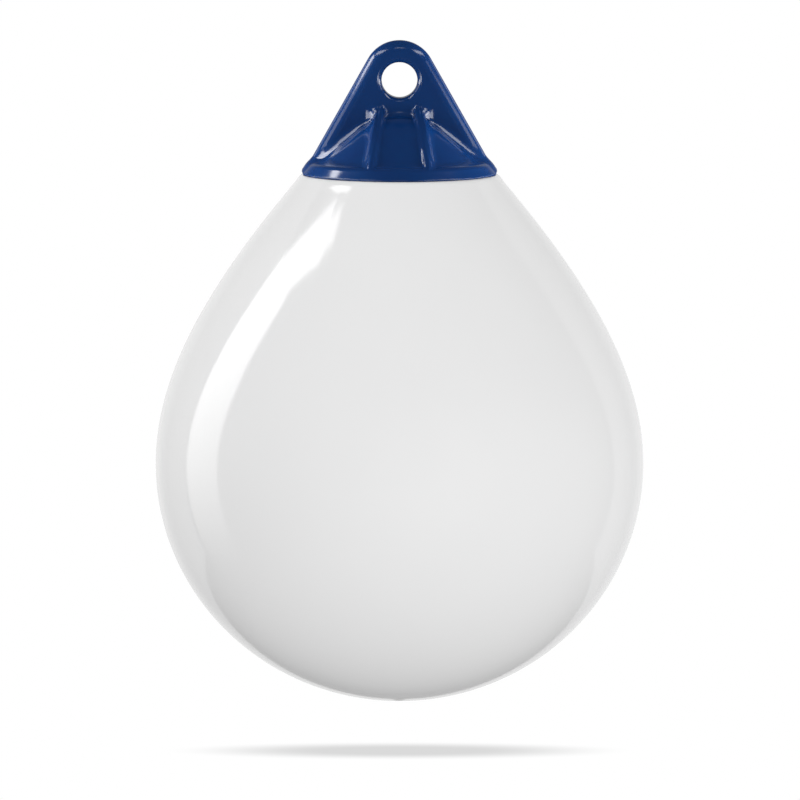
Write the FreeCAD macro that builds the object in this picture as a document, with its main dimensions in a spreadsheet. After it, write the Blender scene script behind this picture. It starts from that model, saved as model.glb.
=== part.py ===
import FreeCAD, Part
import math
import os

import Sketcher
from FreeCAD import Placement, Rotation, Vector

# Inflatable ball fender, hung by its eye.
# The origin is the centre of the eye, the eye runs along Y and +Z is up.
# Lengths are in millimetres and angles in degrees.

SIZES = {
    # Ball: a thin pear-shaped skin, widest at its equator.
    "ball_diameter": 280.0,
    "shoulder_height": 166.7,
    "bottom_depth": 136.4,
    "shoulder_slope": 49.5,
    "wall": 3.0,
    # Head: a moulded cap with a rim band, a shelf and a coned dome with a round crown.
    "rim_diameter": 112.0,
    "rim_drop": 54.3,
    "band_height": 6.6,
    "band_slope": 55.0,
    "band_rounding": 1.5,
    "shelf_width": 4.1,
    "dome_slope": 41.0,
    "crown_radius": 40.0,
    "skirt_thickness": 5.0,
    # Eye plate: a web with fully round edges, from the eye down to the rim.
    "eye_bore": 20.5,
    "eye_rounding": 3.0,
    "plate_thickness": 14.0,
    "plate_top_radius": 20.7,
    "plate_top_rise": 2.0,
    "plate_slope": 60.5,
    "plate_rooting": 3.0,
    # Gusset ribs: two on each face of the eye plate, with fully round crests.
    "rib_thickness": 5.0,
    "rib_spacing": 18.0,
    "rib_splay": 9.2,
    "rib_drop": 11.0,
    "rib_flare": 7.0,
    "rib_slope": 37.5,
    "rib_sink": 0.3,
    # Valve: a bush set in the rear bay, closed by a slotted plug on a seal.
    "flange_diameter": 18.0,
    "flange_thickness": 2.0,
    "flange_gap": 0.4,
    "valve_bevel": 0.5,
    "bush_diameter": 11.0,
    "bush_bore": 7.0,
    "bush_overhang": 2.0,
    "recess_depth": 2.6,
    "seal_thickness": 1.0,
    "seal_inset": 0.5,
    "plug_head": 13.0,
    "plug_head_height": 2.4,
    "plug_rounding": 0.8,
    "plug_length": 9.0,
    "thread_gap": 0.1,
    "slot_width": 1.8,
    "slot_depth": 1.2,
}

# How far to step off an edge, and how sharp it has to be, to count as a corner.
CORNER_STEP = 0.1
CORNER_ANGLE = math.radians(5)
# How near two lengths or two places have to be to count as the same.
CLOSE = 1e-3

DOCUMENT = FreeCAD.newDocument("ball_fender")


def make_sheet():
    """Write each driving size into its own named cell."""
    sheet = DOCUMENT.addObject("Spreadsheet::Sheet", "Sizes")
    for row, (name, size) in enumerate(SIZES.items(), start=1):
        sheet.set(f"A{row}", name)
        sheet.set(f"B{row}", str(size))
        sheet.setAlias(f"B{row}", name)
    DOCUMENT.recompute()
    return sheet


SHEET = make_sheet()

# Levels and radii that several pieces share, each worked out from the driving sizes.
RIM_RADIUS = "(Sizes.rim_diameter / 2)"
RIM_LEVEL = "(-Sizes.rim_drop)"
EQUATOR_LEVEL = f"({RIM_LEVEL} - Sizes.shoulder_height)"
BAND_TOP_RADIUS = f"({RIM_RADIUS} - Sizes.band_height / tan(Sizes.band_slope))"
SHELF_LEVEL = f"({RIM_LEVEL} + Sizes.band_height)"
SHELF_RADIUS = f"({BAND_TOP_RADIUS} - Sizes.shelf_width)"
CONE_TIP = f"({SHELF_LEVEL} + {SHELF_RADIUS} * tan(Sizes.dome_slope))"
CROWN_CENTRE = f"({CONE_TIP} - Sizes.crown_radius / cos(Sizes.dome_slope))"
VALVE_REACH = f"((Sizes.crown_radius * sin(Sizes.dome_slope) + {SHELF_RADIUS}) / 2)"
VALVE_LEVEL = f"({CONE_TIP} - {VALVE_REACH} * tan(Sizes.dome_slope))"


def number(expression):
    """Return what an expression is worth now, as a plain number."""
    return float(SHEET.evalExpression(expression))


def spot(point):
    """Turn a pair of expressions into a point of the sketch plane."""
    return Vector(number(point[0]), number(point[1]), 0)


def bind_offset(item, prefix, moves, tilt=None):
    """Tie the parts of a placement to expressions, with a tilt about one axis."""
    if tilt:
        axis, expression = tilt
        setattr(item, prefix, Placement(Vector(), Rotation(axis, number(expression))))
        item.setExpression(f"{prefix}.Rotation.Angle", expression)
    for direction, expression in moves.items():
        item.setExpression(f"{prefix}.Base.{direction}", expression)


def make_body(name, moves, tilt=None):
    """Start a piece whose own origin lies where the moves and the tilt take it."""
    body = DOCUMENT.addObject("PartDesign::Body", name)
    body.Label = name
    bind_offset(body, "Placement", moves, tilt)
    return body


def origin_plane(body, role):
    """Find one of the piece's own origin planes."""
    return next(item for item in body.Origin.OriginFeatures if item.Role == role)


def make_sketch(body, role, name, moves=None, tilt=None):
    """Attach an empty sketch to one of the piece's origin planes, or parallel to it."""
    sketch = body.newObject("Sketcher::SketchObject", name)
    sketch.AttachmentSupport = [(origin_plane(body, role), "")]
    sketch.MapMode = "FlatFace"
    bind_offset(sketch, "AttachmentOffset", moves or {}, tilt)
    return sketch


def bind(sketch, kind, places, expression):
    """Add one dimension to a sketch and tie it to an expression."""
    index = sketch.addConstraint(Sketcher.Constraint(kind, *places, number(expression)))
    sketch.setExpression(f"Constraints[{index}]", expression)


def pin(sketch, place, point):
    """Fix a point of a sketch by its two coordinates."""
    bind(sketch, "DistanceX", (-1, 1, *place), point[0])
    bind(sketch, "DistanceY", (-1, 1, *place), point[1])


def draw_line(sketch, first, last):
    """Draw a straight stretch and return its two end places."""
    drawn = sketch.addGeometry(Part.LineSegment(first, last), False)
    return (drawn, 1), (drawn, 2)


def draw_arc(sketch, first, last, radius, side):
    """Draw an arc that bulges to the left (1) or to the right (-1) of its chord."""
    chord = last - first
    left = Vector(-chord.y, chord.x, 0).normalize() * side
    reach = math.sqrt(number(radius) ** 2 - chord.Length ** 2 / 4)
    crest = (first + last) / 2 + left * (number(radius) - reach)
    drawn = sketch.addGeometry(Part.Arc(first, crest, last), False)
    bind(sketch, "Radius", (drawn,), radius)
    return ((drawn, 2), (drawn, 1)) if side > 0 else ((drawn, 1), (drawn, 2))


def draw_conic(sketch, first, last, pole, weight):
    """Draw a stretch of a conic that leaves and arrives along the lines to its pole."""
    poles = [first, spot(pole), last]
    weights = [1, number(weight), 1]
    curve = Part.BSplineCurve()
    curve.buildFromPolesMultsKnots(poles, [3, 3], [0, 1], False, 2, weights)
    drawn = sketch.addGeometry(curve, False)
    rings = []
    for index in range(len(poles)):
        ring = Part.Circle(poles[index], Vector(0, 0, 1), weights[index])
        rings.append(sketch.addGeometry(ring, True))
        link = ("InternalAlignment:Sketcher::BSplineControlPoint", rings[index], 3, drawn, index)
        sketch.addConstraint(Sketcher.Constraint(*link))
    for ring, expression in zip(rings, ("1", weight, "1")):
        bind(sketch, "Weight", (ring,), expression)
    pin(sketch, (rings[1], 3), pole)
    return (drawn, 1), (drawn, 2)


def draw_outline(sketch, steps, closed=True):
    """Draw a chain of stretches. A step is a corner, then how the chain leaves it."""
    corners = [spot(step[0]) for step in steps]
    ends = []
    for index, (corner, *manner) in enumerate(steps if closed else steps[:-1]):
        first = corners[index]
        last = corners[(index + 1) % len(corners)]
        draw = manner[0] if manner else draw_line
        ends.append(draw(sketch, first, last, *manner[1:]))
        pin(sketch, ends[index][0], corner)
    for (_, arrival), (departure, _) in zip(ends, ends[1:]):
        sketch.addConstraint(Sketcher.Constraint("Coincident", *arrival, *departure))
    if closed:
        sketch.addConstraint(Sketcher.Constraint("Coincident", *ends[-1][1], *ends[0][0]))
    else:
        pin(sketch, ends[-1][1], steps[-1][0])


def draw_circle(sketch, centre, radius):
    """Draw a circle with a fixed centre and a bound radius."""
    drawn = sketch.addGeometry(Part.Circle(spot(centre), Vector(0, 0, 1), number(radius)), False)
    pin(sketch, (drawn, 3), centre)
    bind(sketch, "Radius", (drawn,), radius)


def turn(body, kind, sketch, name):
    """Revolve a sketch about its own vertical axis, to add or to cut."""
    feature = body.newObject(f"PartDesign::{kind}", name)
    feature.Profile = (sketch, [""])
    feature.ReferenceAxis = (sketch, ["V_Axis"])
    feature.Angle = 360
    sketch.Visibility = False
    return feature


def extrude(body, kind, sketch, name, length, side="One side"):
    """Pad or pocket a sketch by a bound length."""
    feature = body.newObject(f"PartDesign::{kind}", name)
    feature.Profile = (sketch, [""])
    feature.SideType = side
    feature.setExpression("Length", length)
    return feature


def sweep(body, profile, spine, name):
    """Carry a round profile along every edge of a spine sketch."""
    feature = body.newObject("PartDesign::AdditivePipe", name)
    feature.Profile = (profile, [""])
    count = sum(not spine.getConstruction(index) for index in range(spine.GeometryCount))
    feature.Spine = (spine, [f"Edge{index + 1}" for index in range(count)])
    return feature


def mirror(body, features, roles, name):
    """Repeat features across the piece's origin planes, one plane after the other."""
    whole = body.newObject("PartDesign::MultiTransform", name)
    whole.Originals = features
    steps = []
    for role in roles:
        step = body.newObject("PartDesign::Mirrored", f"{name}_{role}")
        step.MirrorPlane = (origin_plane(body, role), [""])
        steps.append(step)
    whole.Transformations = steps
    body.Tip = whole
    return whole


def round_edges(body, base, edges, name, radius):
    """Round the named edges of the last feature."""
    feature = body.newObject("PartDesign::Fillet", name)
    feature.Base = (base, edges)
    feature.setExpression("Radius", radius)


def edges_where(shape, test):
    """Name the edges of a shape that pass a test."""
    return [f"Edge{index}" for index, edge in enumerate(shape.Edges, start=1) if test(edge)]


def is_hollow_corner(solid, edge):
    """Tell whether the material folds inwards along an edge."""
    faces = solid.ancestorsOfType(edge, Part.Face)
    if len(faces) != 2:
        return False
    middle = edge.valueAt((edge.FirstParameter + edge.LastParameter) / 2)
    normals = [face.normalAt(*face.Surface.parameter(middle)) for face in faces]
    across = (normals[0] - normals[1]) * CORNER_STEP
    is_sharp = normals[0].getAngle(normals[1]) > CORNER_ANGLE
    return is_sharp and all(
        solid.isInside(middle + step, CORNER_STEP / 1000, False) for step in (across, across * -1)
    )


def round_roots(body, feature, name, radius):
    """Round every hollow corner above the rim that a feature leaves sharp."""
    DOCUMENT.recompute()
    solid = feature.Shape
    rim = number(RIM_LEVEL)

    def is_root(edge):
        return edge.BoundBox.ZMax > rim + CORNER_STEP and is_hollow_corner(solid, edge)

    round_edges(body, feature, edges_where(solid, is_root), name, radius)


def is_ring(edge, radius, centre):
    """Tell whether an edge is one full ring of this radius about a centre."""
    same_length = abs(edge.Length - 2 * math.pi * radius) < CLOSE
    return same_length and (edge.CenterOfMass - centre).Length < CLOSE


def cap_steps(inset, foot, base):
    """Outline of the coned dome, a bound inset below its outer face, from foot to apex."""
    tip = f"({CONE_TIP} - {inset} / cos(Sizes.dome_slope))"
    radius = f"(Sizes.crown_radius - {inset})"
    bend = f"{CROWN_CENTRE} + {radius} * cos(Sizes.dome_slope) - {base}"
    apex = f"{CROWN_CENTRE} + {radius} - {base}"
    return [
        ((f"({tip} - {foot}) / tan(Sizes.dome_slope)", f"{foot} - {base}"),),
        ((f"{radius} * sin(Sizes.dome_slope)", bend), draw_arc, radius, -1),
        (("0", apex),),
    ]


def ball_steps(inset):
    """Outline of one face of the ball's skin, a bound inset below its outer face."""
    radius = f"(Sizes.ball_diameter / 2 - {inset})"
    depth = f"(Sizes.bottom_depth - {inset})"
    rim_radius = f"({RIM_RADIUS} - {inset} * tan(Sizes.shoulder_slope / 2))"
    rim_height = f"(Sizes.shoulder_height - {inset})"
    narrowing = f"({radius} - {rim_radius})"
    pole_height = f"({rim_height} - {narrowing} * tan(Sizes.shoulder_slope))"
    # The weight gives the shoulder the curvature of the lower half where they meet.
    fullness = f"{depth} / {pole_height} * sqrt({narrowing} / (2 * {radius}))"
    nest = cap_steps(f"(Sizes.skirt_thickness + {inset})", f"({RIM_LEVEL} - {inset})", EQUATOR_LEVEL)
    return [
        (("0", f"-{depth}"), draw_conic, (radius, f"-{depth}"), "cos(45)"),
        ((radius, "0"), draw_conic, (radius, pole_height), fullness),
        ((rim_radius, rim_height),),
        *nest,
    ]


def valve_offset(depth):
    """Place of a plane square to the valve's axis, a bound depth below the dome's face."""
    return {
        "y": f"{VALVE_REACH} - {depth} * sin(Sizes.dome_slope)",
        "z": f"{VALVE_LEVEL} - {depth} * cos(Sizes.dome_slope)",
    }


VALVE_TILT = (Vector(1, 0, 0), "-Sizes.dome_slope")


def bore_for_bush(body, base):
    """Cut the bush's hole through the head's skirt and the ball's skin."""
    place = valve_offset("0")
    place["z"] = f"{place['z']} - {base}"
    sketch = make_sketch(body, "XY_Plane", f"{body.Name}_bush_sketch", place, VALVE_TILT)
    draw_circle(sketch, ("0", "0"), "Sizes.bush_diameter / 2")
    depth = "Sizes.skirt_thickness + Sizes.wall + Sizes.bush_overhang"
    return extrude(body, "Pocket", sketch, f"{body.Name}_bush_hole", depth)


def make_ball_shell():
    """Ball: one hollow skin, closed over the top where it nests in the head."""
    body = make_body("ball_shell", {"z": EQUATOR_LEVEL})
    outer = make_sketch(body, "XZ_Plane", "ball_outside_sketch")
    draw_outline(outer, ball_steps("0"))
    turn(body, "Revolution", outer, "ball_outside")
    inner = make_sketch(body, "XZ_Plane", "ball_inside_sketch")
    draw_outline(inner, ball_steps("Sizes.wall"))
    turn(body, "Groove", inner, "ball_inside")
    bore_for_bush(body, EQUATOR_LEVEL)
    return body


def add_plate(body):
    """Eye plate: a flat web between round edges that run from the crown to the rim."""
    edge_radius = "(Sizes.plate_thickness / 2)"
    top_radius = f"(Sizes.plate_top_radius - {edge_radius})"
    # The spine is the centre line of the round edge, from the crown down one side.
    bend_x = f"{top_radius} * sin(Sizes.plate_slope)"
    bend_z = f"Sizes.plate_top_rise + {top_radius} * cos(Sizes.plate_slope)"
    foot_z = f"({RIM_LEVEL} - {edge_radius})"
    foot_x = f"{bend_x} + ({bend_z} - {foot_z}) / tan(Sizes.plate_slope)"
    crest = ("0", f"Sizes.plate_top_rise + {top_radius}")
    side = [(crest, draw_arc, top_radius, 1), ((bend_x, bend_z),), ((foot_x, foot_z),)]

    web = make_sketch(body, "XZ_Plane", "plate_web_sketch")
    draw_outline(web, [*side, (("0", foot_z),)])
    web_pad = extrude(body, "Pad", web, "plate_web", "Sizes.plate_thickness", "Symmetric")

    spine = make_sketch(body, "XZ_Plane", "plate_edge_spine")
    draw_outline(spine, side, closed=False)
    ring = make_sketch(body, "YZ_Plane", "plate_edge_profile")
    draw_circle(ring, crest, edge_radius)
    edge = sweep(body, ring, spine, "plate_edge")
    return mirror(body, [web_pad, edge], ["YZ_Plane"], "plate_halves")


def add_ribs(body):
    """Gusset ribs: flared from the plate's faces down to the rim band."""
    crest_radius = "(Sizes.rib_thickness / 2)"
    flare = f"(Sizes.rib_flare + {crest_radius})"
    root = f"(Sizes.plate_thickness / 2 - Sizes.rib_thickness / 2 - Sizes.rib_sink)"
    bend_y = f"({root} + {flare} * (1 - sin(Sizes.rib_slope)))"
    bend_z = f"(-Sizes.rib_drop - {flare} * cos(Sizes.rib_slope))"
    half_spacing = "(Sizes.rib_spacing / 2)"
    offset = f"({half_spacing} + {SHELF_RADIUS} * tan(Sizes.rib_splay))"
    end_y = f"(sqrt({BAND_TOP_RADIUS} ^ 2 - {offset} ^ 2) - {crest_radius})"
    end_z = f"({bend_z} - ({end_y} - {bend_y}) * tan(Sizes.rib_slope))"
    start = (root, "-Sizes.rib_drop")
    crest = [(start, draw_arc, flare, -1), ((bend_y, bend_z),), ((end_y, end_z),)]
    place = {"z": half_spacing}
    splay = (Vector(0, 1, 0), "-Sizes.rib_splay")

    web = make_sketch(body, "YZ_Plane", "rib_web_sketch", place, splay)
    draw_outline(web, [*crest, ((end_y, RIM_LEVEL),), ((root, RIM_LEVEL),)])
    web_pad = extrude(body, "Pad", web, "rib_web", "Sizes.rib_thickness", "Symmetric")

    spine = make_sketch(body, "YZ_Plane", "rib_crest_spine", place, splay)
    draw_outline(spine, crest, closed=False)
    level = {"x": half_spacing, "z": "-Sizes.rib_drop"}
    turn_out = (Vector(0, 0, 1), "-Sizes.rib_splay")
    ring = make_sketch(body, "XY_Plane", "rib_crest_profile", level, turn_out)
    draw_circle(ring, ("0", root), crest_radius)
    crest_pipe = sweep(body, ring, spine, "rib_crest")
    return mirror(body, [web_pad, crest_pipe], ["YZ_Plane", "XZ_Plane"], "rib_set")


def cut_eye(body):
    """Eye: a bore through the plate with rounded mouths."""
    sketch = make_sketch(body, "XZ_Plane", "eye_sketch")
    draw_circle(sketch, ("0", "0"), "Sizes.eye_bore / 2")
    bore = extrude(body, "Pocket", sketch, "eye_bore", "2 * Sizes.plate_thickness", "Symmetric")
    DOCUMENT.recompute()
    radius = number("Sizes.eye_bore / 2")
    face = number("Sizes.plate_thickness / 2")
    centres = [Vector(0, -face, 0), Vector(0, face, 0)]

    def is_mouth(edge):
        return any(is_ring(edge, radius, centre) for centre in centres)

    round_edges(body, bore, edges_where(bore.Shape, is_mouth), "eye_mouths", "Sizes.eye_rounding")


def hollow_underside(body):
    """Underside: the nest for the ball's top, and the flat face that butts on its rim."""
    below = f"({RIM_LEVEL} - Sizes.plate_thickness)"
    beyond = f"({RIM_RADIUS} + Sizes.plate_thickness)"
    nest = make_sketch(body, "XZ_Plane", "nest_sketch")
    draw_outline(nest, [
        (("0", below),),
        ((beyond, below),),
        ((beyond, RIM_LEVEL),),
        *cap_steps("Sizes.skirt_thickness", RIM_LEVEL, "0"),
    ])
    turn(body, "Groove", nest, "nest")


def make_rope_head():
    """Head: the moulding that carries the eye and covers the ball's top."""
    body = make_body("rope_head", {})
    dome = make_sketch(body, "XZ_Plane", "dome_sketch")
    setback = "Sizes.band_rounding * tan(Sizes.band_slope / 2)"
    round_x = f"{BAND_TOP_RADIUS} + {setback} * cos(Sizes.band_slope)"
    round_z = f"{SHELF_LEVEL} - {setback} * sin(Sizes.band_slope)"
    draw_outline(dome, [
        (("0", RIM_LEVEL),),
        ((RIM_RADIUS, RIM_LEVEL),),
        ((round_x, round_z), draw_arc, "Sizes.band_rounding", -1),
        ((f"{BAND_TOP_RADIUS} - {setback}", SHELF_LEVEL),),
        *cap_steps("0", SHELF_LEVEL, "0"),
    ])
    turn(body, "Revolution", dome, "dome")
    plate = add_plate(body)
    round_roots(body, plate, "plate_roots", "Sizes.plate_rooting")
    add_ribs(body)
    cut_eye(body)
    hollow_underside(body)
    recess = make_sketch(body, "XY_Plane", "valve_recess_sketch", valve_offset("0"), VALVE_TILT)
    draw_circle(recess, ("0", "0"), "Sizes.flange_diameter / 2 + Sizes.flange_gap")
    extrude(body, "Pocket", recess, "valve_recess", "Sizes.recess_depth")
    bore_for_bush(body, "0")
    return body


def turned_piece(name, depth, steps):
    """Turn a small valve piece on the valve's axis, from a bound depth below the dome."""
    body = make_body(name, valve_offset(depth), VALVE_TILT)
    sketch = make_sketch(body, "XZ_Plane", f"{name}_sketch")
    draw_outline(sketch, steps)
    turn(body, "Revolution", sketch, f"{name}_turned")
    return body


def make_valve_seat():
    """Valve seat: a flanged bush that lines the hole through the head and the skin."""
    bore = "Sizes.bush_bore / 2"
    bush = "Sizes.bush_diameter / 2"
    flange = "Sizes.flange_diameter / 2"
    through = "(Sizes.skirt_thickness + Sizes.wall - Sizes.recess_depth + Sizes.bush_overhang)"
    return turned_piece("valve_seat", "Sizes.recess_depth", [
        ((bore, f"-{through}"),),
        ((f"{bush} - Sizes.valve_bevel", f"-{through}"),),
        ((bush, f"Sizes.valve_bevel - {through}"),),
        ((bush, "0"),),
        ((flange, "0"),),
        ((flange, "Sizes.flange_thickness - Sizes.valve_bevel"),),
        ((f"{flange} - Sizes.valve_bevel", "Sizes.flange_thickness"),),
        ((bore, "Sizes.flange_thickness"),),
    ])


def make_plug_seal():
    """Seal: a flat ring squeezed between the seat's flange and the plug's head."""
    inner = "Sizes.bush_bore / 2"
    outer = "Sizes.plug_head / 2 - Sizes.seal_inset"
    return turned_piece("plug_seal", "(Sizes.recess_depth - Sizes.flange_thickness)", [
        ((inner, "0"),),
        ((outer, "0"),),
        ((outer, "Sizes.seal_thickness"),),
        ((inner, "Sizes.seal_thickness"),),
    ])


def make_valve_plug():
    """Plug: a short screw with a round-edged head and a coin slot."""
    shank = "(Sizes.bush_bore / 2 - Sizes.thread_gap)"
    head = "Sizes.plug_head / 2"
    depth = "(Sizes.recess_depth - Sizes.flange_thickness - Sizes.seal_thickness)"
    body = turned_piece("valve_plug", depth, [
        (("0", "-Sizes.plug_length"),),
        ((f"{shank} - Sizes.valve_bevel", "-Sizes.plug_length"),),
        ((shank, "Sizes.valve_bevel - Sizes.plug_length"),),
        ((shank, "0"),),
        ((head, "0"),),
        ((head, "Sizes.plug_head_height - Sizes.plug_rounding"), draw_arc, "Sizes.plug_rounding", -1),
        ((f"{head} - Sizes.plug_rounding", "Sizes.plug_head_height"),),
        (("0", "Sizes.plug_head_height"),),
    ])
    slot = make_sketch(body, "YZ_Plane", "plug_slot_sketch")
    half = "Sizes.slot_width / 2"
    floor = "Sizes.plug_head_height - Sizes.slot_depth"
    above = "Sizes.plug_head_height + Sizes.slot_depth"
    draw_outline(slot, [
        ((f"-{half}", floor),),
        ((half, floor),),
        ((half, above),),
        ((f"-{half}", above),),
    ])
    extrude(body, "Pocket", slot, "plug_slot", "2 * Sizes.plug_head", "Symmetric")
    return body


def check_and_write(bodies):
    """Stop on any failed feature or broken piece, then write one file for each piece."""
    DOCUMENT.recompute()
    for item in DOCUMENT.Objects:
        if "Invalid" in item.State or "Error" in item.State:
            raise RuntimeError(f"{item.Name} did not build: {item.State}")
    for body in bodies:
        if body.Shape.isNull() or not body.Shape.isValid():
            raise RuntimeError(f"{body.Label} is not a sound solid")
    os.makedirs("parts", exist_ok=True)
    for body in bodies:
        body.Shape.exportStep(f"parts/{body.Label}.step")
        print(body.Label, round(body.Shape.Volume), "mm3", len(body.Shape.Solids), "solid")


check_and_write([
    make_ball_shell(),
    make_rope_head(),
    make_valve_seat(),
    make_plug_seal(),
    make_valve_plug(),
])
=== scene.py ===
import logging
import math
from collections.abc import Callable
from dataclasses import dataclass
from enum import Enum

import bmesh
import bpy
import numpy as np
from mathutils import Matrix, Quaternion, Vector


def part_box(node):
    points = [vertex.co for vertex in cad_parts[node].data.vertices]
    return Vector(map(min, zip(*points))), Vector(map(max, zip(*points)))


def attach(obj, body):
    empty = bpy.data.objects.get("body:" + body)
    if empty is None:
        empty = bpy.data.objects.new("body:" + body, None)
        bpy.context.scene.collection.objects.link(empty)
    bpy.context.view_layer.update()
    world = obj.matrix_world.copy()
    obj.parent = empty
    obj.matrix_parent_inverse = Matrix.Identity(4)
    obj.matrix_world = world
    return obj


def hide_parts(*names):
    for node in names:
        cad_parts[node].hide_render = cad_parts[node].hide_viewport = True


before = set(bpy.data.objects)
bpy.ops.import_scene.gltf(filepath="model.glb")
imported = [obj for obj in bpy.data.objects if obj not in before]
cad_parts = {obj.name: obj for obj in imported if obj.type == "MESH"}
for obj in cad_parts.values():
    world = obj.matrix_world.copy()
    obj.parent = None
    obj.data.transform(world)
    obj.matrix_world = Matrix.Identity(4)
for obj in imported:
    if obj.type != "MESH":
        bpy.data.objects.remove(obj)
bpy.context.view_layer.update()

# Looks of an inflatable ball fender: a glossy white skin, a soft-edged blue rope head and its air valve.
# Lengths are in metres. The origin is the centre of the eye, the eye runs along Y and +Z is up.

MM = 0.001
BODY = "root"
LOG = logging.getLogger("ball_fender")

Field = Callable[[np.ndarray], np.ndarray]
Triple = tuple[float, float, float]

WHITE = (1.0, 1.0, 1.0, 1.0)
BLACK = (0.0, 0.0, 0.0, 1.0)

# Forms described by their distance, negative inside the material

SHORTEST = 0.01 * MM
SLOPE_STEP = 0.02 * MM
LEAST_STEEPNESS = 0.25
MOST_ALIKE = 0.98


def join_round(first: np.ndarray, second: np.ndarray, radius: float | np.ndarray) -> np.ndarray:
    """Join two forms that meet about squarely with a hollow round root.

    Args:
        first: distances to the first form.
        second: distances to the second form.
        radius: radius of the root.

    Returns:
        Distances to the joined form.
    """
    reach = np.hypot(np.maximum(radius - first, 0.0), np.maximum(radius - second, 0.0))
    return np.maximum(radius, np.minimum(first, second)) - reach


def join_rolled(
    first: np.ndarray, second: np.ndarray, radius: np.ndarray, likeness: np.ndarray
) -> np.ndarray:
    """Join two forms with the hollow root that a ball leaves as it rolls along both.

    Args:
        first: distances to the first form.
        second: distances to the second form.
        radius: radius of the ball.
        likeness: cosine of the angle between the ways that the two forms face.

    Returns:
        Distances to the joined form.
    """
    turn = np.clip(likeness, 0.0, MOST_ALIKE)
    near = radius - first
    far = radius - second
    in_root = (near > turn * far) & (far > turn * near)
    span = np.sqrt(np.maximum(near**2 + far**2 - 2 * near * far * turn, 0.0) / (1 - turn**2))
    return np.where(in_root, radius - span, np.minimum(first, second))


def meet_round(first: np.ndarray, second: np.ndarray, radius: float) -> np.ndarray:
    """Keep what two forms share, with the edge between them rounded.

    Args:
        first: distances to the first form.
        second: distances to the second form.
        radius: radius of the rounded edge.

    Returns:
        Distances to the shared form.
    """
    reach = np.hypot(np.maximum(radius + first, 0.0), np.maximum(radius + second, 0.0))
    return np.minimum(-radius, np.maximum(first, second)) + reach


def slope_of(field: Field, points: np.ndarray) -> np.ndarray:
    """Work out which way a field rises at each point.

    Args:
        field: distances to a form.
        points: places to look at, one a row.

    Returns:
        The rise along X, Y and Z, one row a point.
    """
    rises = []
    for axis in range(3):
        shift = np.zeros(3)
        shift[axis] = SLOPE_STEP
        rises.append((field(points + shift) - field(points - shift)) / (2 * SLOPE_STEP))
    return np.stack(rises, axis=1)


def of_unit_length(rows: np.ndarray) -> np.ndarray:
    """Bring each row to length one."""
    return rows / np.linalg.norm(rows, axis=1, keepdims=True)


# Meshes


@dataclass
class Moulding:
    """A mesh whose points are brought onto the face of a form."""

    mesh: bpy.types.Mesh
    form: Field
    grain: float
    first_rounds: int = 4
    even_rounds: int = 4
    last_rounds: int = 2
    slide: float = 0.5
    inset: float = 0.2
    sharpest_bend: float = math.radians(12.0)

    def points(self) -> np.ndarray:
        """Read the mesh's points.

        Returns:
            The points, one a row.
        """
        flat = np.empty(len(self.mesh.vertices) * 3, np.float32)
        self.mesh.vertices.foreach_get("co", flat)
        return flat.reshape(-1, 3).astype(float)

    def edges(self) -> np.ndarray:
        """Read the mesh's edges.

        Returns:
            The two ends of each edge, one edge a row.
        """
        flat = np.empty(len(self.mesh.edges) * 2, np.int32)
        self.mesh.edges.foreach_get("vertices", flat)
        return flat.reshape(-1, 2)

    def place(self, points: np.ndarray) -> None:
        """Write the mesh's points back, one a row."""
        self.mesh.vertices.foreach_set("co", points.astype(np.float32).ravel())
        self.mesh.update()

    def settled(self, points: np.ndarray, rounds: int) -> np.ndarray:
        """Move points onto the face of the form, by no more than one grain at a time.

        Args:
            points: places near the face, one a row.
            rounds: how often the move is repeated.

        Returns:
            The points on the face.
        """
        for _ in range(rounds):
            rise = slope_of(self.form, points)
            steepness = np.maximum((rise**2).sum(axis=1), LEAST_STEEPNESS)
            move = np.clip(self.form(points) / steepness, -self.grain, self.grain)
            points = points - rise * move[:, None]
        return points

    def evened(self, points: np.ndarray, edges: np.ndarray) -> np.ndarray:
        """Slide points along the face towards the middle of their neighbours.

        Args:
            points: the mesh's points, one a row.
            edges: the two ends of each edge, one edge a row.

        Returns:
            The moved points.
        """
        counts = np.bincount(edges.ravel(), minlength=len(points))
        sums = np.zeros_like(points)
        for near, far in (edges.T, edges.T[::-1]):
            for axis in range(3):
                sums[:, axis] += np.bincount(near, points[far, axis], minlength=len(points))
        move = sums / counts[:, None] - points
        normal = of_unit_length(slope_of(self.form, points))
        return points + self.slide * (move - normal * (move * normal).sum(axis=1, keepdims=True))

    def shaped(self) -> np.ndarray:
        """Work out where the mesh's points lie once they are on the form and evenly spaced.

        Returns:
            The points on the face, one a row.
        """
        points = self.settled(self.points(), self.first_rounds)
        edges = self.edges()
        for _ in range(self.even_rounds):
            points = self.settled(self.evened(points, edges), 1)
        return self.settled(points, self.last_rounds)

    def shade(self) -> None:
        """Shade each corner by the form's slope there, or by the slope just beside it at a sharp edge."""
        corners = np.empty(len(self.mesh.loops), np.int32)
        self.mesh.loops.foreach_get("vertex_index", corners)
        centres = np.empty(len(self.mesh.polygons) * 3, np.float32)
        self.mesh.polygons.foreach_get("center", centres)
        totals = np.empty(len(self.mesh.polygons), np.int32)
        self.mesh.polygons.foreach_get("loop_total", totals)
        middles = np.repeat(centres.reshape(-1, 3), totals, axis=0)
        points = self.points()
        here = of_unit_length(slope_of(self.form, points))[corners]
        inside = points[corners] * (1 - self.inset) + middles * self.inset
        beside = of_unit_length(slope_of(self.form, inside))
        is_smooth = (here * beside).sum(axis=1) > math.cos(self.sharpest_bend)
        self.mesh.shade_smooth()
        self.mesh.normals_split_custom_set(np.where(is_smooth[:, None], here, beside))


def add_object(name: str, mesh: bpy.types.Mesh) -> bpy.types.Object:
    """Put a mesh in the scene as an object of its own.

    Args:
        name: name of the object.
        mesh: its mesh.

    Returns:
        The object.
    """
    thing = bpy.data.objects.new(name, mesh)
    bpy.context.scene.collection.objects.link(thing)
    return thing


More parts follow.
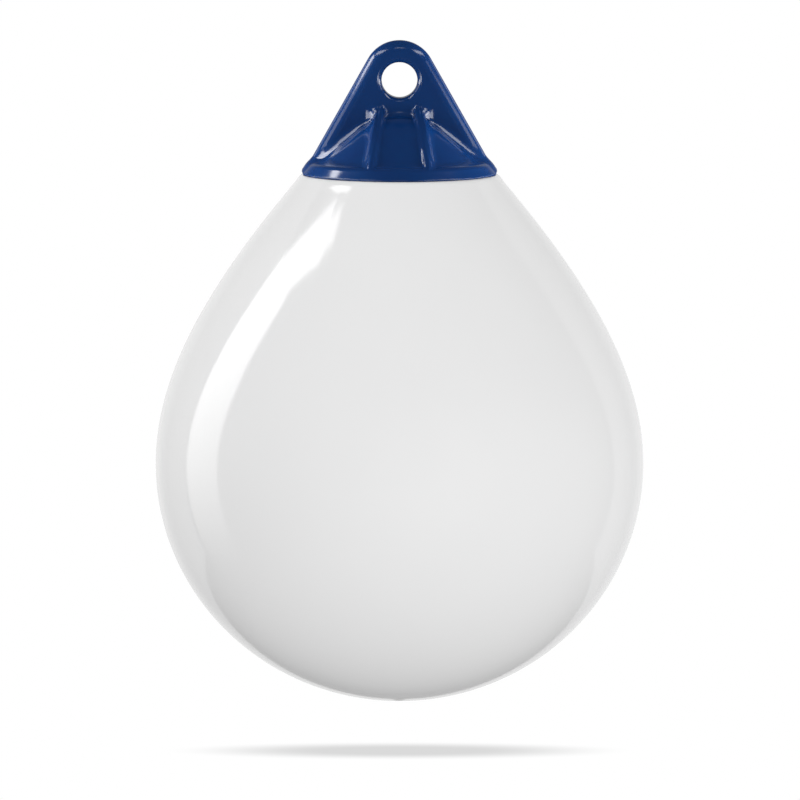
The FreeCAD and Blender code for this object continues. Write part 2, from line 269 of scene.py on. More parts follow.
def turned_mesh(name: str, outlines: list[np.ndarray], segments: int) -> bpy.types.Mesh:
    """Turn outlines about the Z axis into closed smooth faces.

    Args:
        name: name of the mesh.
        outlines: rows of radius and height, each from the axis back to the axis.
        segments: how many steps one turn has.

    Returns:
        The turned mesh.
    """
    angles = np.arange(segments) * 2 * math.pi / segments
    ring = np.stack([np.cos(angles), np.sin(angles)], axis=1)
    form = bmesh.new()
    for outline in outlines:
        rows = [
            [form.verts.new((radius * x, radius * y, height)) for x, y in ring]
            for radius, height in outline[1:-1]
        ]
        first = form.verts.new((0.0, 0.0, outline[0, 1]))
        last = form.verts.new((0.0, 0.0, outline[-1, 1]))
        for low, high in zip(rows, rows[1:]):
            for index in range(segments):
                after = (index + 1) % segments
                form.faces.new((low[index], low[after], high[after], high[index]))
        for index in range(segments):
            after = (index + 1) % segments
            form.faces.new((first, rows[0][after], rows[0][index]))
            form.faces.new((last, rows[-1][index], rows[-1][after]))
    mesh = bpy.data.meshes.new(name)
    form.to_mesh(mesh)
    form.free()
    mesh.shade_smooth()
    return mesh


# Finishes


class NodeTree:
    """A tree of shader nodes."""

    def __init__(self, tree: bpy.types.NodeTree) -> None:
        """Take up a tree as it is."""
        self.tree = tree

    def find(self, kind: str) -> bpy.types.Node:
        """Find the tree's first node of a kind."""
        return next(node for node in self.tree.nodes if node.type == kind)

    def add(self, kind: str, **settings: object) -> bpy.types.Node:
        """Add a node.

        Args:
            kind: the node's type.
            settings: values of its properties, or of its inputs by their name.

        Returns:
            The new node.
        """
        node = self.tree.nodes.new(kind)
        for name, value in settings.items():
            if name in node.inputs:
                node.inputs[name].default_value = value
            else:
                setattr(node, name, value)
        return node

    def link(self, source: bpy.types.NodeSocket, target: bpy.types.NodeSocket) -> None:
        """Join an output to an input."""
        self.tree.links.new(source, target)

    def stretch(
        self,
        source: bpy.types.NodeSocket,
        taken: tuple[float, float],
        given: tuple[float, float],
        eased: bool = False,
    ) -> bpy.types.NodeSocket:
        """Stretch one range of a value over another.

        Args:
            source: the value.
            taken: the two ends of the range that is taken from it.
            given: what the two ends become.
            eased: whether it leaves and arrives softly.

        Returns:
            The stretched value.
        """
        ranger = self.add("ShaderNodeMapRange", interpolation_type="SMOOTHSTEP" if eased else "LINEAR")
        for name, value in zip(("From Min", "From Max", "To Min", "To Max"), (*taken, *given)):
            ranger.inputs[name].default_value = value
        self.link(source, ranger.inputs["Value"])
        return ranger.outputs["Result"]

    def choose(
        self, is_second: bpy.types.NodeSocket, first: bpy.types.Node, second: bpy.types.Node
    ) -> bpy.types.Node:
        """Choose between two shaders.

        Args:
            is_second: 1 where the second shader counts, 0 where the first does.
            first: the first shader.
            second: the second shader.

        Returns:
            The node that gives the chosen shader.
        """
        mixer = self.add("ShaderNodeMixShader")
        self.link(is_second, mixer.inputs["Fac"])
        self.link(first.outputs[0], mixer.inputs[1])
        self.link(second.outputs[0], mixer.inputs[2])
        return mixer


class Recipe(NodeTree):
    """The nodes of one material, mixed on its surface shader."""

    CLOUD_MIDDLE = (0.3, 0.7)

    def __init__(self, name: str) -> None:
        """Start a material that has only its surface shader.

        Args:
            name: name of the material.
        """
        self.material = bpy.data.materials.new(name)
        self.material.use_nodes = True
        super().__init__(self.material.node_tree)
        self.shader = self.find("BSDF_PRINCIPLED")

    def cloud(self, scale: float) -> bpy.types.NodeSocket:
        """Add a cloudy pattern fixed to the object.

        Args:
            scale: how many clouds there are to the metre.

        Returns:
            The pattern's strength, most of it within CLOUD_MIDDLE.
        """
        place = self.add("ShaderNodeTexCoord")
        pattern = self.add("ShaderNodeTexNoise", Scale=scale)
        self.link(place.outputs["Object"], pattern.inputs["Vector"])
        return pattern.outputs["Fac"]

    def bump(
        self, source: bpy.types.NodeSocket, height: float, below: bpy.types.Node | None = None
    ) -> bpy.types.Node:
        """Raise the surface by a pattern.

        Args:
            source: the pattern.
            height: how far its strongest places stand up, in metres.
            below: a bump that this one lies on.

        Returns:
            The bump node.
        """
        node = self.add("ShaderNodeBump", Strength=1.0, Distance=height)
        self.link(source, node.inputs["Height"])
        if below:
            self.link(below.outputs["Normal"], node.inputs["Normal"])
        return node


@dataclass(frozen=True)
class Polymer:
    """Vinyl, plastic or rubber, clouded between two close tones, with a slow ripple and a fine skin."""

    name: str
    colour: Triple
    deep_colour: Triple
    roughness: float
    ripple: float
    ripple_scale: float
    skin: float
    skin_scale: float
    polish_range: float = 0.2
    refraction: float = 1.5

    def mix(self) -> bpy.types.Material:
        """Mix the material.

        Returns:
            The material.
        """
        recipe = Recipe(self.name)
        shader = recipe.shader
        shader.inputs["IOR"].default_value = self.refraction
        cloud = recipe.cloud(self.ripple_scale)
        blend = recipe.add("ShaderNodeMix", data_type="RGBA")
        blend.inputs["A"].default_value = (*self.colour, 1.0)
        blend.inputs["B"].default_value = (*self.deep_colour, 1.0)
        recipe.link(recipe.stretch(cloud, Recipe.CLOUD_MIDDLE, (0.0, 1.0)), blend.inputs["Factor"])
        recipe.link(blend.outputs["Result"], shader.inputs["Base Color"])
        fine = recipe.cloud(self.skin_scale)
        smoothest = self.roughness * (1 - self.polish_range)
        roughest = self.roughness * (1 + self.polish_range)
        polish = recipe.stretch(fine, Recipe.CLOUD_MIDDLE, (smoothest, roughest))
        recipe.link(polish, shader.inputs["Roughness"])
        slow = recipe.bump(cloud, self.ripple)
        quick = recipe.bump(fine, self.skin, slow)
        recipe.link(quick.outputs["Normal"], shader.inputs["Normal"])
        return recipe.material

    def dress(self, piece: bpy.types.Object) -> None:
        """Give a piece this finish as its only material."""
        piece.data.materials.clear()
        piece.data.materials.append(self.mix())


SKIN_VINYL = Polymer(
    name="ball_skin",
    colour=(0.86, 0.86, 0.86),
    deep_colour=(0.84, 0.84, 0.842),
    roughness=0.10,
    ripple=0.6 * MM,
    ripple_scale=9.0,
    skin=0.004 * MM,
    skin_scale=900.0,
)
HEAD_VINYL = Polymer(
    name="head_moulding",
    colour=(0.003, 0.034, 0.146),
    deep_colour=(0.004, 0.030, 0.134),
    roughness=0.14,
    ripple=0.05 * MM,
    ripple_scale=60.0,
    skin=0.001 * MM,
    skin_scale=1400.0,
)
VALVE_PLASTIC = Polymer(
    name="valve_plastic",
    colour=(0.020, 0.021, 0.023),
    deep_colour=(0.016, 0.017, 0.019),
    roughness=0.30,
    ripple=0.02 * MM,
    ripple_scale=200.0,
    skin=0.004 * MM,
    skin_scale=2500.0,
)
SEAL_RUBBER = Polymer(
    name="seal_rubber",
    colour=(0.012, 0.012, 0.012),
    deep_colour=(0.009, 0.009, 0.009),
    roughness=0.55,
    ripple=0.02 * MM,
    ripple_scale=200.0,
    skin=0.006 * MM,
    skin_scale=3000.0,
)


# Pieces


@dataclass
class Band:
    """The head's rim band: a low cone on the rim, rounded at its top, with a flat shelf inside."""

    rim_radius: float
    rim_level: float
    height: float = 6.6 * MM
    slope: float = math.radians(55.0)
    rounding: float = 1.5 * MM
    shelf_width: float = 4.1 * MM

    @property
    def shelf_radius(self) -> float:
        """Radius at which the shelf ends and the dome begins."""
        return self.rim_radius - self.height / math.tan(self.slope) - self.shelf_width

    @property
    def shelf_level(self) -> float:
        """Level of the shelf."""
        return self.rim_level + self.height

    def side(self, points: np.ndarray) -> np.ndarray:
        """Distances to the band's sloping side, carried on upwards.

        Args:
            points: places to look at, one a row.

        Returns:
            One distance a point.
        """
        beyond = np.hypot(points[:, 0], points[:, 1]) - self.rim_radius
        above = points[:, 2] - self.rim_level
        return beyond * math.sin(self.slope) + above * math.cos(self.slope)

    def distance(self, points: np.ndarray) -> np.ndarray:
        """Distances to the band.

        Args:
            points: places to look at, one a row.

        Returns:
            One distance a point.
        """
        return meet_round(self.side(points), points[:, 2] - self.shelf_level, self.rounding)


@dataclass
class Dome:
    """The coned cap with a round crown: the head's skirt, whose underside is the ball's nest."""

    foot_radius: float
    foot_level: float
    slope: float = math.radians(41.0)
    crown_radius: float = 40.0 * MM
    skirt: float = 5.0 * MM

    @property
    def tip(self) -> float:
        """Level where the cone would come to a point."""
        return self.foot_level + self.foot_radius * math.tan(self.slope)

    @property
    def crown_centre(self) -> float:
        """Level of the centre of the round crown."""
        return self.tip - self.crown_radius / math.cos(self.slope)

    def distance(self, points: np.ndarray) -> np.ndarray:
        """Distances to the cap's outer face.

        Args:
            points: places to look at, one a row.

        Returns:
            One distance a point, negative below the face.
        """
        radius = np.hypot(points[:, 0], points[:, 1])
        rise = points[:, 2] - self.crown_centre
        on_crown = radius * math.cos(self.slope) < rise * math.sin(self.slope)
        crown = np.hypot(radius, rise) - self.crown_radius
        cone = radius * math.sin(self.slope) + (points[:, 2] - self.tip) * math.cos(self.slope)
        return np.where(on_crown, crown, cone)

    def outline(self, inset: float, foot: float, steps: int) -> np.ndarray:
        """Outline of a face below the cap.

        Args:
            inset: how far below the cap's outer face it lies.
            foot: level of its foot.
            steps: how many steps its cone has, and its crown.

        Returns:
            Rows of radius and height, from the foot to the axis.
        """
        tip = self.tip - inset / math.cos(self.slope)
        radius = self.crown_radius - inset
        angles = np.linspace(self.slope, 0.0, steps)
        crown = np.stack([radius * np.sin(angles), self.crown_centre + radius * np.cos(angles)], axis=1)
        foot_radius = (tip - foot) / math.tan(self.slope)
        start = np.array([foot_radius, foot])
        cone = start + (crown[0] - start) * np.linspace(0.0, 1.0, steps, endpoint=False)[:, None]
        return np.concatenate([cone, crown])


@dataclass
class BallSkin:
    """The ball: one hollow blown skin, widest at its equator and nested in the head."""

    band: Band
    dome: Dome
    radius: float
    bottom: float
    shoulder_height: float = 166.7 * MM
    shoulder_slope: float = math.radians(49.5)
    bottom_fullness: float = math.cos(math.radians(45.0))
    wall: float = 3.0 * MM
    neck_length: float = 9.0 * MM
    neck_swell: float = 0.30 * MM
    segments: int = 240
    outer_steps: int = 150
    inner_steps: int = 37

    @staticmethod
    def conic(
        first: np.ndarray, pole: np.ndarray, last: np.ndarray, fullness: float, steps: int
    ) -> np.ndarray:
        """Points of a conic that leaves and arrives along the lines to its pole.

        Args:
            first: where it starts.
            pole: where its two end tangents cross.
            last: where it ends.
            fullness: how strongly the pole draws it.
            steps: how many steps it has.

        Returns:
            Rows of radius and height, without the last point.
        """
        share = np.linspace(0.0, 1.0, steps, endpoint=False)[:, None]
        ends = (1 - share) ** 2 * first + share**2 * last
        pull = 2 * share * (1 - share) * fullness
        return (ends + pull * pole) / ((1 - share) ** 2 + pull + share**2)

    def outline(self, inset: float, steps: int) -> np.ndarray:
        """Outline of one face of the skin.

        Args:
            inset: how far inside the outer face it lies.
            steps: how many steps there are from the equator to the rim.

        Returns:
            Rows of radius and height, from the bottom to the top of the nest.
        """
        equator = self.band.rim_level - self.shoulder_height
        radius = self.radius - inset
        depth = equator - self.bottom - inset
        rim_radius = self.band.rim_radius - inset * math.tan(self.shoulder_slope / 2)
        narrowing = radius - rim_radius
        pole_height = self.shoulder_height - inset - narrowing * math.tan(self.shoulder_slope)
        fullness = depth / pole_height * math.sqrt(narrowing / (2 * radius))
        bottom = np.array([0.0, equator - depth])
        side = np.array([radius, equator])
        rim = np.array([rim_radius, self.band.rim_level - inset])
        low_pole = np.array([radius, equator - depth])
        high_pole = np.array([radius, equator + pole_height])
        low = self.conic(bottom, low_pole, side, self.bottom_fullness, steps // 2)
        high = self.conic(side, high_pole, rim, fullness, steps)
        nest = self.dome.outline(self.dome.skirt + inset, self.band.rim_level - inset, steps // 6)
        return np.concatenate([low, high, rim[None], nest])

    def swollen(self, outline: np.ndarray) -> np.ndarray:
        """Swell the skin where it leaves the head: quickly up below the rim, then slowly off.

        Args:
            outline: rows of radius and height.

        Returns:
            The swollen outline.
        """
        along = np.array([math.cos(self.shoulder_slope), -math.sin(self.shoulder_slope)])
        outward = np.array([math.sin(self.shoulder_slope), math.cos(self.shoulder_slope)])
        rim = np.array([self.band.rim_radius, self.band.rim_level])
        share = ((outline - rim) @ along) / self.neck_length
        outside = (outline[:, 0] > self.band.rim_radius) & (share > 0) & (share < 1)
        swell = np.where(outside, np.sin(math.pi * np.sqrt(np.clip(share, 0, 1))) ** 2, 0.0)
        return outline + swell[:, None] * outward * self.neck_swell

    def build(self) -> bpy.types.Object:
        """Turn the skin's two faces and put them in the ball's place.

        Returns:
            The ball's skin.
        """
        outer = self.swollen(self.outline(0.0, self.outer_steps))
        inner = self.outline(self.wall, self.inner_steps)[::-1]
        piece = add_object("ball_skin", turned_mesh("ball_skin", [outer, inner], self.segments))
        SKIN_VINYL.dress(piece)
        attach(piece, BODY)
        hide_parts("ball_shell")
        return piece


@dataclass
class EyePlate:
    """The upright plate round the eye: a round top, straight sloping sides and fully round edges."""

    half: float = 7.0 * MM
    top_radius: float = 20.7 * MM
    top_rise: float = 2.0 * MM
    slope: float = math.radians(60.5)
    rooting: float = 2.2 * MM
    spread: float = 3.0 * MM
    spread_start: float = 15.0 * MM
    spread_length: float = 20.0 * MM

    def distance(self, points: np.ndarray) -> np.ndarray:
        """Distances to the plate.

        Args:
            points: places to look at, one a row.

        Returns:
            One distance a point.
        """
        across = np.abs(points[:, 0])
        rise = points[:, 2] - self.top_rise
        reach = self.top_radius - self.half
        on_top = across * math.cos(self.slope) < rise * math.sin(self.slope)
        side = across * math.sin(self.slope) + rise * math.cos(self.slope)
        beyond = np.where(on_top, np.hypot(across, rise), side) - reach
        return np.hypot(np.maximum(beyond, 0.0), points[:, 1]) - self.half

    def root(self, points: np.ndarray) -> np.ndarray:
        """Radius of the root along the plate's foot: least near the ribs, wider away from them.

        Args:
            points: places to look at, one a row.

        Returns:
            One radius a point.
        """
        from_rib = np.abs(np.abs(points[:, 0]) - self.spread_start) / self.spread_length
        return self.rooting + self.spread * np.clip(from_rib, 0.0, 1.0)


@dataclass
class Ribs:
    """The four gusset ribs, two on each face of the plate and splayed, whose crests are fully round."""

    plate: EyePlate
    half: float = 2.5 * MM
    spacing: float = 18.0 * MM
    splay: float = math.radians(9.2)
    drop: float = 11.0 * MM
    flare: float = 7.0 * MM
    slope: float = math.radians(37.5)
    sink: float = 0.3 * MM
    rooting: float = 1.5 * MM
    sweep: float = 3.0 * MM
    sweep_length: float = 14.0 * MM

    def distance(self, points: np.ndarray) -> tuple[np.ndarray, np.ndarray]:
        """Distances to the nearest rib.

        Args:
            points: places to look at, one a row.

        Returns:
            One distance a point, and the cosine of the angle between the ways that the rib's face
            and the plate's face look there.
        """
        out = np.abs(points[:, 1])
        offset = np.abs(points[:, 0]) - self.spacing / 2
        across = offset * math.cos(self.splay) - out * math.sin(self.splay)
        along = offset * math.sin(self.splay) + out * math.cos(self.splay)
        flare = self.flare + self.half
        start = self.plate.half - self.half - self.sink
        from_centre = along - start - flare
        rise = points[:, 2] + self.drop
        hollow = flare - np.hypot(from_centre, rise)
        straight = flare + from_centre * math.sin(self.slope) + rise * math.cos(self.slope)
        is_straight = from_centre * math.cos(self.slope) > rise * math.sin(self.slope)
        crest = np.where(is_straight, straight, hollow)
        crest = np.where(rise > 0, along - start + rise, crest)
        lean = -from_centre / np.maximum(np.hypot(from_centre, rise), SHORTEST)
        lean = np.where(is_straight, math.sin(self.slope), np.where(rise > 0, 1.0, lean))
        over = np.maximum(crest, 0.0)
        reach = np.maximum(np.hypot(over, across), SHORTEST)
        outward = (over * lean * math.cos(self.splay) - across * math.sin(self.splay)) / reach
        return reach - self.half, outward

    def root(self, points: np.ndarray) -> np.ndarray:
        """Radius of the ribs' roots: wider on their outer sides, most of all near the plate.

        Args:
            points: places to look at, one a row.

        Returns:
            One radius a point.
        """
        out = np.abs(points[:, 1])
        outside = np.abs(points[:, 0]) - self.spacing / 2 - out * math.tan(self.splay)
        share = np.clip(outside / self.half, 0.0, 1.0)
        near_plate = np.clip(2.0 - out / self.sweep_length, 0.0, 1.0)
        return self.rooting + share * self.sweep * (1 + near_plate)


@dataclass
class ValveHole:
    """The stepped hole in the rear bay that takes the valve, square to the dome's cone."""

    dome: Dome
    recess_radius: float = 9.4 * MM
    recess_depth: float = 2.6 * MM
    bush_radius: float = 5.5 * MM
    bush_depth: float = 15.0 * MM

    def distance(self, points: np.ndarray) -> np.ndarray:
        """Distances to the hole.

        Args:
            points: places to look at, one a row.

        Returns:
            One distance a point, negative in the hole.
        """
        slope = self.dome.slope
        reach = (self.dome.crown_radius * math.sin(slope) + self.dome.foot_radius) / 2
        level = self.dome.tip - reach * math.tan(slope)
        out = points[:, 1] - reach
        rise = points[:, 2] - level
        height = out * math.sin(slope) + rise * math.cos(slope)
        aside = out * math.cos(slope) - rise * math.sin(slope)
        radius = np.hypot(points[:, 0], aside)
        recess = np.maximum(radius - self.recess_radius, -height - self.recess_depth)
        bush = np.maximum(radius - self.bush_radius, -height - self.bush_depth)
        return np.minimum(recess, bush)


@dataclass
class RopeHead:
    """The blue moulding: rim band, domed skirt, eye plate and gusset ribs, run softly together."""

    band: Band
    dome: Dome
    plate: EyePlate
    ribs: Ribs
    valve_hole: ValveHole
    shelf_rooting: float = 3.5 * MM
    eye_radius: float = 10.25 * MM
    eye_rounding: float = 3.0 * MM
    grain: float = 0.7 * MM

    def distance(self, points: np.ndarray) -> np.ndarray:
        """Distances to the whole moulding.

        Args:
            points: places to look at, one a row.

        Returns:
            One distance a point.
        """
        base = join_round(self.dome.distance(points), self.band.distance(points), self.shelf_rooting)
        plate = self.plate.distance(points)
        plate_root = self.plate.root(points)
        body = join_round(base, plate, plate_root)
        rib, outward = self.ribs.distance(points)
        rib = meet_round(rib, self.band.side(points), self.band.rounding)
        rib_root = self.ribs.root(points) * np.clip(-self.band.side(points) / self.shelf_rooting, 0.0, 1.0)
        likeness = outward * np.clip((base - plate) / plate_root, 0.0, 1.0)
        body = join_rolled(body, rib, rib_root, likeness)
        bore = self.eye_radius - np.hypot(points[:, 0], points[:, 2])
        body = meet_round(body, bore, self.eye_rounding)
        nest = -(self.dome.distance(points) + self.dome.skirt)
        below_rim = self.band.rim_level - points[:, 2]
        return np.maximum.reduce([body, nest, below_rim, -self.valve_hole.distance(points)])

    def even_mesh(self) -> bpy.types.Mesh:
        """Remesh the frame's head into small even faces.

        Returns:
            The mesh, roughly the head's shape.
        """
        rough = add_object("rope_head_rough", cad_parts["rope_head"].data.copy())
        remesh = rough.modifiers.new("even_grain", "REMESH")
        remesh.mode = "VOXEL"
        remesh.voxel_size = self.grain
        bpy.context.view_layer.update()
        shape = rough.evaluated_get(bpy.context.evaluated_depsgraph_get())
        mesh = bpy.data.meshes.new_from_object(shape)
        mesh.name = "moulded_head"
        bpy.data.objects.remove(rough)
        return mesh

    def on_rim(self, points: np.ndarray) -> np.ndarray:
        """Move the points closest to the rim's edge onto it, so that the edge stays sharp.

        Args:
            points: places on the moulding, one a row.

        Returns:
            The same points, the closest ones on the edge.
        """
        radius = np.hypot(points[:, 0], points[:, 1])
        from_edge = np.hypot(radius - self.band.rim_radius, points[:, 2] - self.band.rim_level)
        is_close = from_edge < self.grain / 2
        points[is_close, :2] *= (self.band.rim_radius / radius[is_close])[:, None]
        points[is_close, 2] = self.band.rim_level
        return points

    def build(self) -> bpy.types.Object:
        """Mould the head from its frame piece and put it in that piece's place.

        Returns:
            The moulded head.
        """
        moulding = Moulding(self.even_mesh(), self.distance, self.grain)
        moulding.place(self.on_rim(moulding.shaped()))
        moulding.shade()
        piece = add_object("moulded_head", moulding.mesh)
        HEAD_VINYL.dress(piece)
        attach(piece, BODY)
        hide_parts("rope_head")
        return piece


@dataclass
class Valve:
    """The air valve in the rear bay: a flanged seat, a sealing ring and a slotted plug."""

    seat: Polymer = VALVE_PLASTIC
    seal: Polymer = SEAL_RUBBER
    plug: Polymer = VALVE_PLASTIC

    def build(self) -> list[bpy.types.Object]:
        """Smooth and dress the valve's three frame pieces.

        Returns:
            The pieces.
        """
        finishes = {"valve_seat": self.seat, "plug_seal": self.seal, "valve_plug": self.plug}
        pieces = []
        for name, finish in finishes.items():
            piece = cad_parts[name]
            piece.data.shade_smooth()
            finish.dress(piece)
            pieces.append(piece)
        return pieces


# Studio

HEAD_MIDDLE = (0.0, 0.0, -40.0 * MM)
BALL_MIDDLE = (0.0, 0.0, -200.0 * MM)
BAND_FRONT_LEFT = (-35.6 * MM, -40.2 * MM, -51.0 * MM)


class Side(Enum):
    """The two sides of a mirrored pair of lamps."""

    LEFT = -1
    RIGHT = 1


class Reach(Enum):
    """What a lamp does to the surfaces that it reaches."""

    GLEAM = "shows in the gloss only"
    GLOW = "lights softly and shows in no gloss"


@dataclass
class Softbox:
    """A flat lamp, turned to a point of the part.

    Its stand is seen from that point: azimuth and elevation in degrees, then distance. Azimuth 0 is in
    front, and it grows towards +X. Its size is width and height. A fade is the share of the height, from
    the foot up, over which its light comes up from nothing.
    """

    name: str
    reach: Reach
    stand: Triple
    size: tuple[float, float]
    radiance: float
    target: Triple = HEAD_MIDDLE
    fade: float = 0.0
    roll: float = 0.0

    def build(self, lit: list[bpy.types.Object]) -> None:
        """Hang the lamp and aim it.

        Args:
            lit: the only pieces that it lights.
        """
        lamp = bpy.data.lights.new(self.name, "AREA")
        lamp.shape = "RECTANGLE"
        lamp.size, lamp.size_y = self.size
        lamp.energy = self.radiance * math.pi * self.size[0] * self.size[1]
        if self.fade:
            self.fade_foot(lamp)
        thing = bpy.data.objects.new(self.name, lamp)
        bpy.context.scene.collection.objects.link(thing)
        azimuth, elevation, distance = self.stand
        around = math.radians(azimuth)
        up = math.radians(elevation)
        back = Vector((math.sin(around) * math.cos(up), -math.cos(around) * math.cos(up), math.sin(up)))
        thing.location = Vector(self.target) + back * distance
        turn = (-back).to_track_quat("-Z", "Y") @ Quaternion((0.0, 0.0, 1.0), math.radians(self.roll))
        thing.rotation_euler = turn.to_euler()
        thing.visible_camera = False
        thing.visible_diffuse = self.reach is Reach.GLOW
        thing.visible_glossy = self.reach is Reach.GLEAM
        group = bpy.data.collections.new(f"{self.name}_lit")
        for piece in lit:
            group.objects.link(piece)
        thing.light_linking.receiver_collection = group

    def fade_foot(self, lamp: bpy.types.AreaLight) -> None:
        """Let the lamp's face fade out softly towards its foot.

        Args:
            lamp: the lamp.
        """
        lamp.use_nodes = True
        tree = NodeTree(lamp.node_tree)
        place = tree.add("ShaderNodeNewGeometry")
        split = tree.add("ShaderNodeSeparateXYZ")
        tree.link(place.outputs["Parametric"], split.inputs["Vector"])
        strength = tree.stretch(split.outputs["Y"], (0.0, self.fade), (0.0, 1.0), eased=True)
        tree.link(strength, tree.find("EMISSION").inputs["Strength"])


@dataclass
class Lamps:
    """The studio's lamps: some light the head and its valve alone, the others the ball alone."""

    ball: list[bpy.types.Object]
    head: list[bpy.types.Object]
    left_rear: float = 0.9
    right_rear: float = 1.2
    strip_stand: Triple = (-90, 0, 0.56)
    strip_radiance: float = 5.0

    def hang_pair(self, side: Side) -> None:
        """Hang one side's lamps of the mirrored pairs.

        Args:
            side: the side.
        """
        hand = side.value
        rear = self.left_rear if side is Side.LEFT else self.right_rear
        head_lamps = (
            Softbox("key", Reach.GLEAM, stand=(hand * 62, 47, 1.0), size=(0.68, 0.20), radiance=6.0),
            Softbox("edge", Reach.GLEAM, stand=(hand * 77, 12, 1.0), size=(0.55, 0.50), radiance=2.4),
            Softbox("back_side", Reach.GLEAM, stand=(hand * 130, 15, 1.0), size=(0.30, 0.26), radiance=1.3),
            Softbox("side", Reach.GLOW, stand=(hand * 100, -5, 1.6), size=(1.6, 1.6), radiance=7.0),
            Softbox("low_side", Reach.GLEAM, stand=(hand * 84, 1.5, 1.0), size=(1.30, 0.23), radiance=9.0),
            Softbox("low_front", Reach.GLEAM, stand=(hand * 34, -5, 1.0), size=(0.62, 0.16), radiance=7.0),
        )
        ball_lamps = (
            Softbox(
                "rear", Reach.GLOW, stand=(hand * 115, -5, 2.0), size=(1.6, 1.6), radiance=rear,
                target=BALL_MIDDLE,
            ),
            Softbox("backdrop", Reach.GLEAM, stand=(hand * 150, 5, 2.0), size=(2.4, 3.0), radiance=0.5),
        )
        for lamp in head_lamps:
            lamp.build(self.head)
        for lamp in ball_lamps:
            lamp.build(self.ball)

    def hang_strip(self) -> None:
        """Hang the three lamps of the ball's long gleam: its foot fades out, its top leans to a tip."""
        lamps = (
            Softbox(
                "strip", Reach.GLEAM, self.strip_stand, size=(0.235, 0.98), radiance=self.strip_radiance,
                target=(0.0, 75.0 * MM, -160.0 * MM), fade=1.0,
            ),
            Softbox(
                "strip_top", Reach.GLEAM, self.strip_stand, size=(0.18, 0.33), radiance=self.strip_radiance,
                target=(0.0, 20.0 * MM, 455.0 * MM), roll=-24.0,
            ),
            Softbox(
                "strip_tip", Reach.GLEAM, self.strip_stand, size=(0.11, 0.22), radiance=self.strip_radiance,
                target=(0.0, -68.0 * MM, 620.0 * MM), roll=-21.0,
            ),
        )
        for lamp in lamps:
            lamp.build(self.ball)

    def hang(self) -> None:
        """Hang all the lamps."""
        for side in Side:
            self.hang_pair(side)
        brow = Softbox("brow", Reach.GLEAM, stand=(0, 50, 1.0), size=(0.25, 0.18), radiance=2.0)
        block = Softbox(
            "block", Reach.GLEAM, stand=(-103, 41, 0.30), size=(0.140, 0.066), radiance=11.0,
            target=BAND_FRONT_LEFT,
        )
        upper_left = Softbox(
            "upper_left", Reach.GLOW, stand=(-112, 48, 2.0), size=(1.6, 1.6), radiance=1.35
        )
        front = Softbox(
            "front", Reach.GLOW, stand=(12, 2, 2.4), size=(2.0, 2.0), radiance=1.75, target=BALL_MIDDLE
        )
        head_front = Softbox("head_front", Reach.GLOW, stand=(0, -25, 1.6), size=(0.8, 0.8), radiance=1.9)
        brow.build(self.head)
        block.build(self.head)
        self.hang_strip()
        upper_left.build(self.ball)
        front.build(self.ball)
        head_front.build(self.head)


@dataclass
class Floor:
    """A round white floor below the ball, with a soft flat painted shadow on it."""

    ball_bottom: float
    radius: float = 1.4
    gap: float = 29.8 * MM
    segments: int = 96
    painted_shadow_size: Triple = (0.138, 0.044, 1.0)
    painted_shadow_edge: float = 0.7
    painted_shadow_tone: float = 0.70

    def dress(self, floor: bpy.types.Object) -> None:
        """Give the floor its white and its painted shadow: its glow dims in a soft ellipse under the ball.

        Args:
            floor: the floor.
        """
        recipe = Recipe("studio_floor")
        shader = recipe.shader
        shader.inputs["Base Color"].default_value = BLACK
        shader.inputs["Specular IOR Level"].default_value = 0.0
        shader.inputs["Emission Color"].default_value = WHITE
        # Painted shadow: the floor's emission is dimmed in a soft ellipse below the ball, not cast by any
        # lamp.
        place = recipe.add("ShaderNodeTexCoord")
        shape = recipe.add("ShaderNodeMapping", Scale=tuple(1 / size for size in self.painted_shadow_size))
        shade = recipe.add("ShaderNodeTexGradient", gradient_type="SPHERICAL")
        recipe.link(place.outputs["Object"], shape.inputs["Vector"])
        recipe.link(shape.outputs["Vector"], shade.inputs["Vector"])
        tones = (1.0, self.painted_shadow_tone)
        tone = recipe.stretch(shade.outputs["Fac"], (0.0, self.painted_shadow_edge), tones, eased=True)
        recipe.link(tone, shader.inputs["Emission Strength"])
        floor.data.materials.append(recipe.material)

    def lay(self) -> None:
        """Lay the floor, which neither lights nor shades the part."""
        form = bmesh.new()
        bmesh.ops.create_circle(form, cap_ends=True, radius=self.radius, segments=self.segments)
        mesh = bpy.data.meshes.new("studio_floor")
        form.to_mesh(mesh)
        form.free()
        floor = add_object("studio_floor", mesh)
        floor.location.z = self.ball_bottom - self.gap
        floor.visible_diffuse = False
        floor.visible_glossy = False
        floor.visible_shadow = False
        self.dress(floor)


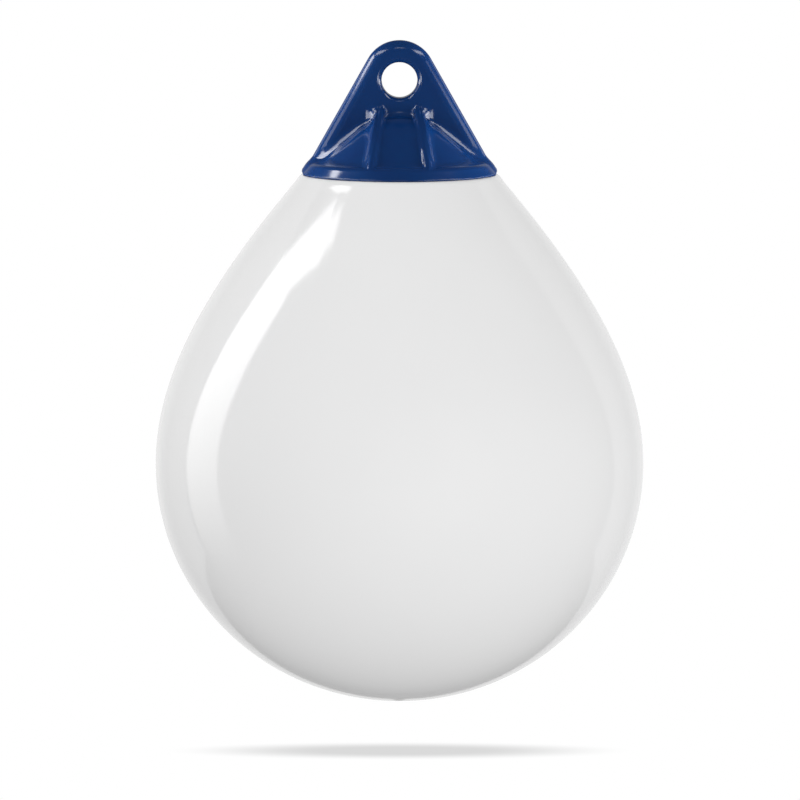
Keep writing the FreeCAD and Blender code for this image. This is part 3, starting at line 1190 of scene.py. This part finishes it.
@dataclass
class Room:
    """The room around: white to the camera, an even soft light, and dim in the gloss but for its back."""

    even_light: float = 0.655
    back_rise: tuple[float, float] = (0.80, 0.97)
    gloss_light: tuple[float, float] = (0.06, 0.35)

    def light(self) -> None:
        """Light the room."""
        world = bpy.data.worlds.new("studio_air")
        bpy.context.scene.world = world
        world.use_nodes = True
        world.node_tree.nodes.clear()
        tree = NodeTree(world.node_tree)
        even = tree.add("ShaderNodeBackground", Color=WHITE, Strength=self.even_light)
        white = tree.add("ShaderNodeBackground", Color=WHITE)
        gloss = tree.add("ShaderNodeBackground", Color=WHITE)
        place = tree.add("ShaderNodeTexCoord")
        split = tree.add("ShaderNodeSeparateXYZ")
        tree.link(place.outputs["Generated"], split.inputs["Vector"])
        strength = tree.stretch(split.outputs["Y"], self.back_rise, self.gloss_light, eased=True)
        tree.link(strength, gloss.inputs["Strength"])
        path = tree.add("ShaderNodeLightPath")
        on_part = tree.choose(path.outputs["Is Glossy Ray"], even, gloss)
        seen = tree.choose(path.outputs["Is Camera Ray"], on_part, white)
        tree.link(seen.outputs[0], tree.add("ShaderNodeOutputWorld").inputs["Surface"])


@dataclass
class Camera:
    """A camera far in front, a little above level, aimed a little below the fender's middle."""

    distance: float = 8.0
    elevation: float = math.radians(5.7)
    view_width: float = 459.2 * MM
    aim: Triple = (0.3 * MM, 0.0, -184.4 * MM)
    sensor: float = 36.0
    farthest: float = 20.0

    def set_up(self) -> None:
        """Set up the camera."""
        lens = bpy.data.cameras.new("camera")
        lens.sensor_width = self.sensor
        lens.lens = self.sensor * self.distance / self.view_width
        lens.clip_end = self.farthest
        camera = bpy.data.objects.new("camera", lens)
        bpy.context.scene.collection.objects.link(camera)
        back = Vector((0.0, -math.cos(self.elevation), math.sin(self.elevation)))
        camera.location = Vector(self.aim) + back * self.distance
        camera.rotation_euler = (-back).to_track_quat("-Z", "Y").to_euler()
        bpy.context.scene.camera = camera
        bpy.context.scene.view_settings.view_transform = "Standard"


def main() -> None:
    """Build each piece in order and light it."""
    logging.basicConfig(level=logging.INFO, format="%(name)s: %(message)s")
    ball_low, ball_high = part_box("ball_shell")
    head_low, head_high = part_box("rope_head")
    band = Band(rim_radius=head_high.y, rim_level=head_low.z)
    dome = Dome(foot_radius=band.shelf_radius, foot_level=band.shelf_level)
    ball = BallSkin(band, dome, radius=ball_high.x, bottom=ball_low.z).build()
    plate = EyePlate()
    head = RopeHead(band, dome, plate, Ribs(plate), ValveHole(dome)).build()
    valve = Valve().build()
    for piece in (ball, head, *valve):
        LOG.info("%s: %d faces", piece.name, len(piece.data.polygons))
    Floor(ball_bottom=ball_low.z).lay()
    Room().light()
    Lamps(ball=[ball], head=[head, *valve]).hang()
    Camera().set_up()


if __name__ == "__main__":
    main()
